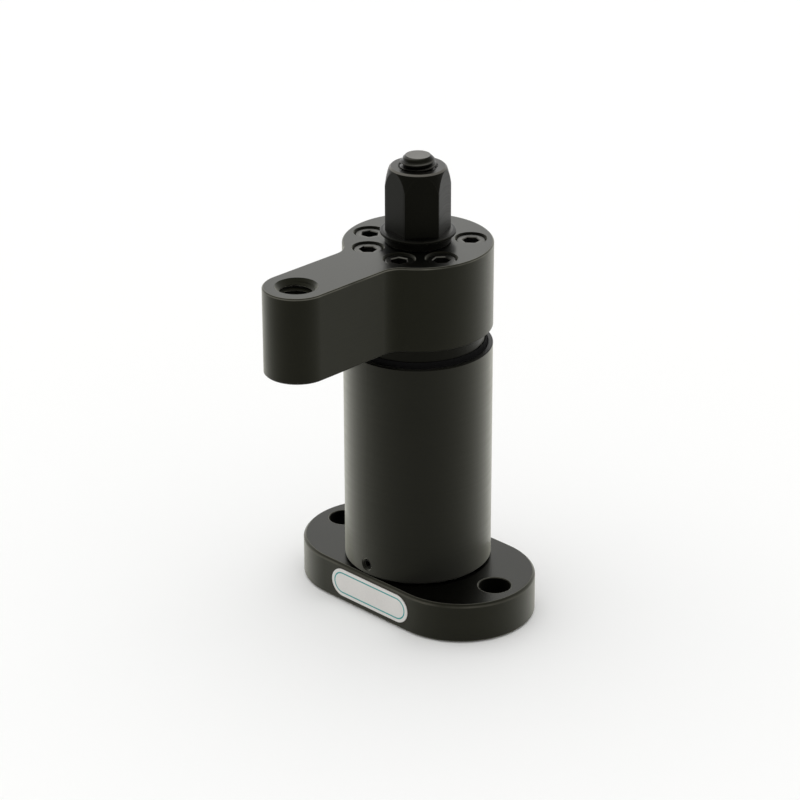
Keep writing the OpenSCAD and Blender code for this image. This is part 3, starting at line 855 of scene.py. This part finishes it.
@dataclass
class Head:
    """The clamp arm with its screws, the washer on it and the spindle that carries it.

    Angles are in degrees from the arm. The ribs and the crown of a screw's head lie as many edges under its
    top as their drop says, and each socket is turned by a share of its screw's angle.
    """

    top_edge: float = 0.4
    low_edge: float = 0.4
    soft: float = 0.3
    fillet: float = 8.0
    hub_columns: int = 96
    fillet_columns: int = 10
    tip_columns: int = 48
    tap_depth: float = 0.95
    tap_columns: int = 64
    countersink: float = 1.0
    stud_gap: float = 0.6
    nose_h: float = 3.0
    nose_d: float = 24.0
    dowel_angle: float = 180.0
    dowel_columns: int = 32
    pocket_edge: float = 0.12
    screw_angles: tuple[float, ...] = (-140, -70, -24, 24, 70, 140)
    screw_ring: float = 17.5
    screw_gap: float = 0.3
    screw_d: float = 6.0
    head_d: float = 10.0
    head_h: float = 6.0
    head_edge: float = 0.6
    end_edge: float = 0.75
    knurl: float = 0.12
    rib_drop: float = 1.7
    crown_drop: float = 1.2
    socket_flats: float = 5.0
    socket_turn: float = 0.7
    washer_gap: float = 0.3
    washer_seam: float = 1.0
    washer_edge: float = 0.4
    washer_soft: float = 0.15
    fit: float = 0.05
    columns: int = 60

    def build(self) -> None:
        """Builds the arm, the screws and the washer, and dresses the spindle's pieces."""
        self.build_arm()
        self.build_screws()
        self.build_washer()
        dress("swing_spindle", SLIDING)
        dress("stud_bush", BRONZE)
        dress("guide_screw", GROUND)
        dress("arm_dowel", GROUND)

    def outline(self) -> Outline:
        """Gives the outline of the arm: the hub, two fillets and the round tip.

        Returns:
            The outline, whose distance out is counted from the arm's full size.
        """
        low, high = box_mm("swing_arm")
        hub, reach = high.x, -mount("arm_thread")["pos_m"][1] / MM
        tip = -low.y - reach
        side = tip + self.fillet
        meet = math.sqrt((hub + self.fillet) ** 2 - side ** 2)
        turn = math.degrees(math.atan2(meet, side))

        def at(out: float) -> list[Flat]:
            """Gives the points around the arm.

            Args:
                out: Distance out from its full size.

            Returns:
                The points, anticlockwise from the front of the hub.
            """
            inner = self.fillet - out
            return [*arc((0, 0), hub + out, -turn, 180 + turn, self.hub_columns),
                    *arc((-side, -meet), inner, turn, 0, self.fillet_columns)[1:],
                    *arc((0, -reach), tip + out, 180, 360, self.tip_columns),
                    *arc((side, -meet), inner, 180, 180 - turn, self.fillet_columns)[:-1]]

        return at

    def on_ring(self, angle: float) -> Flat:
        """Gives the place on the screw ring at an angle from the arm."""
        turn = math.radians(angle)
        return self.screw_ring * math.sin(turn), -self.screw_ring * math.cos(turn)

    def build_arm(self) -> None:
        """Builds the arm with chamfered edges, sunk screw seats and the threaded hole in its tip."""
        low, high = box_mm("swing_arm")
        foot, top = low.z, high.z
        draft = Draft()
        # The lower chamfer takes the deeper black as painted shade under the arm
        seam = plain([(-self.low_edge - BAND, foot), (-self.low_edge, foot)], Ink.THIRD)
        edge = [(0, foot + self.low_edge), (0, top - self.top_edge), (-self.top_edge, top),
                (-self.top_edge - BAND, top)]
        through = [draft.wall([*seam, *soften(edge, self.soft)], self.outline())]
        seat = box_mm("arm_screws")[1].z - self.head_h
        shank, sink = self.screw_d / 2 + self.screw_gap, self.head_d / 2 + self.screw_gap
        rim = self.pocket_edge
        pocket = plain([(shank, foot), (shank, seat), (sink, seat), (sink, top - rim), (sink + rim, top)])
        for angle in self.screw_angles:
            through.append(draft.wall(pocket, circle(self.columns, self.on_ring(angle))))
        stud = box_mm("centre_stud")[1].x + self.stud_gap
        nose = self.nose_d / 2 + self.fit
        middle = [(nose, foot), (nose, foot + self.nose_h), (stud, foot + self.nose_h), (stud, top)]
        through.append(draft.wall(plain(middle), circle(self.columns)))
        dowel_low, dowel_high = box_mm("arm_dowel")
        pin = (dowel_high.x - dowel_low.x) / 2 + self.fit
        pit = draft.wall(plain([(pin, foot), (pin, dowel_high.z + self.fit)]),
                         circle(self.dowel_columns, self.on_ring(self.dowel_angle)))
        draft.fill(pit[1])
        tip = mount("arm_thread")
        tapped = draft.tap(foot, top, tip["dims"]["r_mm"], self.tap_depth, self.countersink, self.tap_columns,
                           (0, tip["pos_m"][1] / MM))
        draft.fill(*[low for low, _ in through], pit[0], tapped[0])
        # The top takes the lighter copy of the arm's black, a painted top light
        draft.fill(*[up for _, up in through], tapped[1], ink=Ink.SECOND)
        draft.make("swing_arm_milled", "arm", [ARM, ARM_TOP_LIT, HARDENED_AND_SHADE], ["swing_arm"])

    def build_screws(self) -> None:
        """Builds the six socket cap screws with knurled heads."""
        low, high = box_mm("arm_screws")
        seat, top = high.z - self.head_h, high.z
        shank, head = self.screw_d / 2, self.head_d / 2
        e, half, end = self.head_edge, self.head_edge / 2, self.end_edge
        draft = Draft()
        for angle in self.screw_angles:
            centre = self.on_ring(angle)
            ring = circle(self.columns, centre)

            def ribbed(out: float, around: Outline = ring) -> list[Flat]:
                """Circle with every other point set back."""
                inner = around(out - self.knurl)
                return [inner[i] if i % 2 else p for i, p in enumerate(around(out))]

            foot, neck = draft.wall(plain([(shank - end, low.z), (shank, low.z + end), (shank, seat),
                                           (head - half, seat)]), ring)
            ribs = draft.wall(plain([(head, seat + half), (head, top - self.rib_drop * e)]), ribbed)
            crown = draft.wall(soften([(head, top - self.crown_drop * e), (head, top - half), (head - e, top),
                                       (head - e - BAND, top)], half), ring)
            draft.fill(foot)
            draft.bridge(neck, ribs[0])
            draft.bridge(ribs[1], crown[0])
            draft.socket(crown[1], centre, top, self.socket_flats, self.head_h / 2, self.socket_turn * angle)
        draft.make("arm_screws_socket_heads", "arm", [SCREW], ["arm_screws"])

    def build_washer(self) -> None:
        """Builds the thick washer under the nut."""
        low, high = box_mm("thrust_washer")
        hole = box_mm("centre_stud")[1].x + self.washer_gap
        seam = (hole, low.z + self.washer_seam)
        e = self.washer_edge
        draft = Draft()
        corners = [seam, (hole, low.z), (high.x - e, low.z), (high.x, low.z + e), (high.x, high.z - e),
                   (high.x - e, high.z), (hole, high.z), seam]
        draft.wall(soften(corners, self.washer_soft)[:-1], circle(2 * self.columns), closed=True)
        # The washer takes the nut's deeper black, partly painted shade under the nut's flange
        draft.make("thrust_washer_turned", "arm", [HARDENED_AND_SHADE], ["thrust_washer"])


@dataclass
class Drive:
    """The clamping nut on its stud.

    The taper's rings are pairs of the share of the way in from the hexagon to the neck, and the wear. The
    crown starts a crown_in inside the taper's top and a crown_up above it.
    """

    flats: float = 19.0
    angle: float = 22.0
    corner_round: float = 0.35
    flat_steps: int = 5
    flange_t: float = 0.9
    flange_w: float = 1.0
    flange_slope: float = 0.5
    slope_sunk: float = 0.5
    taper_h: float = 7.0
    taper_bend: float = 1.5
    taper_rings: tuple[Flat, ...] = ((0, 0.8), (0.1, 0), (0.4, 0), (0.7, 0), (1, 0))
    crown_in: float = 0.02
    crown_up: float = 0.05
    top_edge: float = 0.6
    soft: float = 0.25
    nut_depth: float = 1.0
    fit: float = 0.05
    mouth: float = 0.5
    stud_depth: float = 1.07
    foot_edge: float = 1.0
    end_edge: float = 1.9
    run_out: float = 1.0
    crest_wear: int = 4
    upper_thread: float = 40.0
    lower_thread: float = 24.0
    columns: int = 48

    def build(self) -> None:
        """Builds the nut and the stud."""
        self.build_nut()
        self.build_stud()

    @property
    def round_middle(self) -> float:
        """Distance from the axis to the middle of the round on a corner of the hexagon."""
        return (self.flats / 2 - self.corner_round) / math.cos(HEX_HALF)

    def hexagon(self, offset: float) -> float:
        """Gives the radius of the hexagon with rounded corners.

        Args:
            offset: Angle from the middle of a flat, in radians.

        Returns:
            The radius at that angle.
        """
        flat = self.flats / 2 / math.cos(offset)
        from_corner = HEX_HALF - abs(offset)
        room = self.corner_round ** 2 - (self.round_middle * math.sin(from_corner)) ** 2
        rounded = self.round_middle * math.cos(from_corner) + math.sqrt(room) if room > 0 else flat
        return min(flat, rounded)

    def around(self) -> list[Flat]:
        """Gives the columns of the nut, which lie closest at the corners.

        Returns:
            Pairs of angle in radians and hexagon radius.
        """
        bend = math.atan2(self.corner_round / 2, self.round_middle + self.corner_round * math.cos(HEX_HALF))
        flat = [(HEX_HALF - bend) * k / self.flat_steps for k in range(-self.flat_steps, self.flat_steps + 1)]
        offsets = [*flat, HEX_HALF - bend / 2, HEX_HALF, HEX_HALF + bend / 2]
        columns = []
        for side in range(6):
            middle = math.radians(self.angle + 60 * side)
            for offset in offsets:
                within = offset if offset <= HEX_HALF else offset - 2 * HEX_HALF
                columns.append((middle + offset, self.hexagon(within)))
        return columns

    def build_nut(self) -> None:
        """Builds the flanged nut with its bent taper, and the thread in it."""
        low, high = box_mm("clamp_nut")
        foot, top, flange = low.z, high.z, high.x
        columns = self.around()
        neck, corner = self.flats / 2, max(radius for _, radius in columns)
        slope_r = neck - self.slope_sunk
        taper_foot, taper_top = top - self.taper_h, top - self.top_edge
        draft = Draft()

        def circle_at(out: float) -> list[Flat]:
            """Circle with its points in the columns of the nut."""
            return [(out * math.cos(a), out * math.sin(a)) for a, _ in columns]

        def slope_up(radius: float) -> float:
            """Height of the flange's sloped face at a radius."""
            return foot + self.flange_t + self.flange_slope * (flange - radius) / (flange - slope_r)

        def taper_up(radius: float) -> float:
            """Height of the bent taper at a radius."""
            share = (corner - radius) / (corner - neck)
            return taper_foot + (taper_top - taper_foot) * max(0.0, share) ** (1 / self.taper_bend)

        def hex_ring(share: float, rise: Callable[[float], float], worn: float, drop: float = 0.0) -> Ring:
            """Adds a ring of the nut between its hexagon and its neck.

            Args:
                share: How far in from the hexagon to the neck it lies.
                rise: Height at a radius.
                worn: How worn it is.
                drop: How much lower than that height it lies.

            Returns:
                The ring.
            """
            radii = [radius + (neck - radius) * share for _, radius in columns]
            return [draft.point((r * math.cos(a), r * math.sin(a), rise(r) - drop), worn)
                    for (a, _), r in zip(columns, radii)]

        inner = flange - self.flange_w
        skirt = [(inner, foot), (flange, foot), (flange, foot + self.flange_t), (inner, slope_up(inner))]
        base, shoulder = draft.wall(soften(skirt, self.soft), circle_at)
        neck_foot = hex_ring(0, slope_up, 0.0)
        # The flange's sloped top takes the lighter copy, a painted top light
        draft.bridge(shoulder, neck_foot, Ink.SECOND)
        rings = [neck_foot, hex_ring(0, taper_up, 0.0, drop=self.soft)]
        rings += [hex_ring(share, taper_up, worn) for share, worn in self.taper_rings]
        # The top chamfer takes the pale grey, partly wear, partly a painted highlight; the top face takes the
        # painted top light
        crown = draft.wall([Stop(neck - self.crown_in, taper_top + self.crown_up, ink=Ink.THIRD),
                            Stop(neck - self.top_edge, top, ink=Ink.SECOND),
                            Stop(neck - self.top_edge - BAND, top)], circle_at)
        rings.append(crown[0])
        for under, over in zip(rings, rings[1:]):
            draft.bridge(under, over)
        bore = box_mm("centre_stud")[1].x + self.fit
        tapped = draft.tap(foot, top, bore, self.nut_depth, self.mouth, self.columns)
        draft.fill(base, tapped[0])
        draft.fill(crown[1], tapped[1], ink=Ink.SECOND)
        draft.make("clamp_nut_hexagon", "nut", [HARDENED_AND_SHADE, NUT_TOP_LIT, WORN_END_AND_HIGHLIGHT],
                   ["clamp_nut"])

    def build_stud(self) -> None:
        """Builds the stud, threaded at both ends, with its chamfered end on top."""
        low, high = box_mm("centre_stud")
        radius, foot, top = high.x, low.z, high.z
        thread_top, thread_foot = foot + self.lower_thread, top - self.upper_thread
        draft = Draft()

        def rolled(phase: float, up: float) -> tuple[float, float]:
            """Gives the stud's thread, cut back at both ends.

            Args:
                phase: Place across the pitch, in turns.
                up: Height of the place.

            Returns:
                Its radius and its wear.
            """
            height = ridge(phase)
            full = radius - self.stud_depth * (1 - height)
            ends = radius - self.foot_edge + (up - foot), radius - self.end_edge + (top - up)
            return min(full, *ends), height ** self.crest_wear

        foot_ring, lower = draft.thread(foot, thread_top, rolled, self.columns)
        upper, tip = draft.thread(thread_foot, top, rolled, self.columns)
        shank = draft.wall(plain([(radius, thread_top + self.run_out), (radius, thread_foot - self.run_out)]),
                           circle(self.columns))
        draft.bridge(lower, shank[0])
        draft.bridge(shank[1], upper)
        draft.fill(foot_ring)
        # The stud's end takes the pale grey, partly wear, partly painted top light
        draft.fill(tip, ink=Ink.SECOND)
        draft.make("centre_stud_threaded", "root", [ROLLED, WORN_END_AND_HIGHLIGHT], ["centre_stud"])


@dataclass
class Works:
    """The pieces shut inside the tube, which keep their solids and get their finish."""

    finishes: dict[str, Finish] = field(default_factory=lambda: {
        "cam_post": GROUND, "cam_post_dowel": GROUND, "spring_seat": GROUND, "return_spring": SPRING_WIRE,
        "spring_cap": BRONZE})

    def build(self) -> None:
        """Dresses every inner piece."""
        for node, finish in self.finishes.items():
            dress(node, finish)


@dataclass
class Studio:
    """The pale floor, the soft light and the camera at the photo's angle."""

    azimuth: float = 44.3
    elevation: float = 24.55
    distance_mm: float = 985.0
    target_mm: tuple[float, float, float] = (0.0, 0.0, 75.0)
    sensor_mm: float = 36.0
    lens_mm: float = 132.1
    shift: Flat = (-0.0225, -0.0136)
    floor_radius_m: float = 6.0
    floor_drop_m: float = 0.0003
    floor_segments: int = 96
    floor_colour: str = "#fafaf9"
    floor_roughness: float = 0.9
    world_colour: str = "#ffffff"
    ambient: float = 0.82
    lamp_turn: float = 205.0
    lamp_elevation: float = 52.0
    lamp_strength: float = 0.9
    lamp_spread: float = 120.0

    def build(self) -> None:
        """Builds the floor, the world, the lamp and the camera."""
        self.build_floor()
        self.build_world()
        self.build_lamp()
        self.build_camera()
        bpy.context.scene.view_settings.view_transform = "Standard"

    def build_floor(self) -> None:
        """Builds a wide round floor just under the base plate."""
        work = bmesh.new()
        bmesh.ops.create_circle(work, cap_ends=True, segments=self.floor_segments, radius=self.floor_radius_m)
        mesh = bpy.data.meshes.new("studio_floor")
        work.to_mesh(mesh)
        work.free()
        floor = add_object("studio_floor", mesh)
        floor.location.z = -self.floor_drop_m
        paper = bpy.data.materials.new("white_studio_paper")
        paper.use_nodes = True
        shader = paper.node_tree.nodes["Principled BSDF"]
        shader.inputs["Base Color"].default_value = linear(self.floor_colour)
        shader.inputs["Roughness"].default_value = self.floor_roughness
        mesh.materials.append(paper)

    def build_world(self) -> None:
        """Makes the world white to the eye and to gloss, and softer as light."""
        world = bpy.data.worlds.new("white_studio")
        bpy.context.scene.world = world
        world.use_nodes = True
        tree = world.node_tree
        tree.nodes.clear()
        path = add_node(tree, "ShaderNodeLightPath")
        seen = path.outputs["Is Camera Ray"]
        for ray in ("Is Glossy Ray", "Is Transmission Ray"):
            seen = add_node(tree, "ShaderNodeMath", None, {0: seen, 1: path.outputs[ray]},
                            operation="MAXIMUM").outputs[0]
        strength = add_node(tree, "ShaderNodeMapRange", {3: self.ambient, 4: 1.0}, {0: seen})
        light = add_node(tree, "ShaderNodeBackground", {"Color": linear(self.world_colour)},
                         {"Strength": strength.outputs[0]})
        add_node(tree, "ShaderNodeOutputWorld", None, {"Surface": light.outputs[0]})

    @staticmethod
    def towards(azimuth: float, elevation: float) -> Vector:
        """Gives the direction from the object to a place around it."""
        a, e = math.radians(azimuth), math.radians(elevation)
        return Vector((math.sin(a) * math.cos(e), -math.cos(a) * math.cos(e), math.sin(e)))

    def build_lamp(self) -> None:
        """Adds the broad soft lamp behind the part, which shines over it towards the camera."""
        data = bpy.data.lights.new("back_softbox", "SUN")
        data.energy = self.lamp_strength
        data.angle = math.radians(self.lamp_spread)
        lamp = add_object("back_softbox", data)
        lamp.rotation_mode = "QUATERNION"
        from_lamp = -self.towards(self.azimuth + self.lamp_turn, self.lamp_elevation)
        lamp.rotation_quaternion = from_lamp.to_track_quat("-Z", "Y")

    def build_camera(self) -> None:
        """Sets the camera at the photo's angle and framing."""
        data = bpy.data.cameras.new("photo_camera")
        data.sensor_width = self.sensor_mm
        data.lens = self.lens_mm
        data.shift_x, data.shift_y = self.shift
        camera = add_object("photo_camera", data)
        back = self.towards(self.azimuth, self.elevation)
        camera.location = (Vector(self.target_mm) + back * self.distance_mm) * MM
        camera.rotation_mode = "QUATERNION"
        camera.rotation_quaternion = (-back).to_track_quat("-Z", "Y")
        bpy.context.scene.camera = camera


def main() -> None:
    """Builds the sub-assemblies in order, then the studio."""
    logging.basicConfig(level=logging.INFO, format="%(message)s")
    for part in (Foot(), Barrel(), Head(), Drive(), Works(), Studio()):
        part.build()


if __name__ == "__main__":
    main()
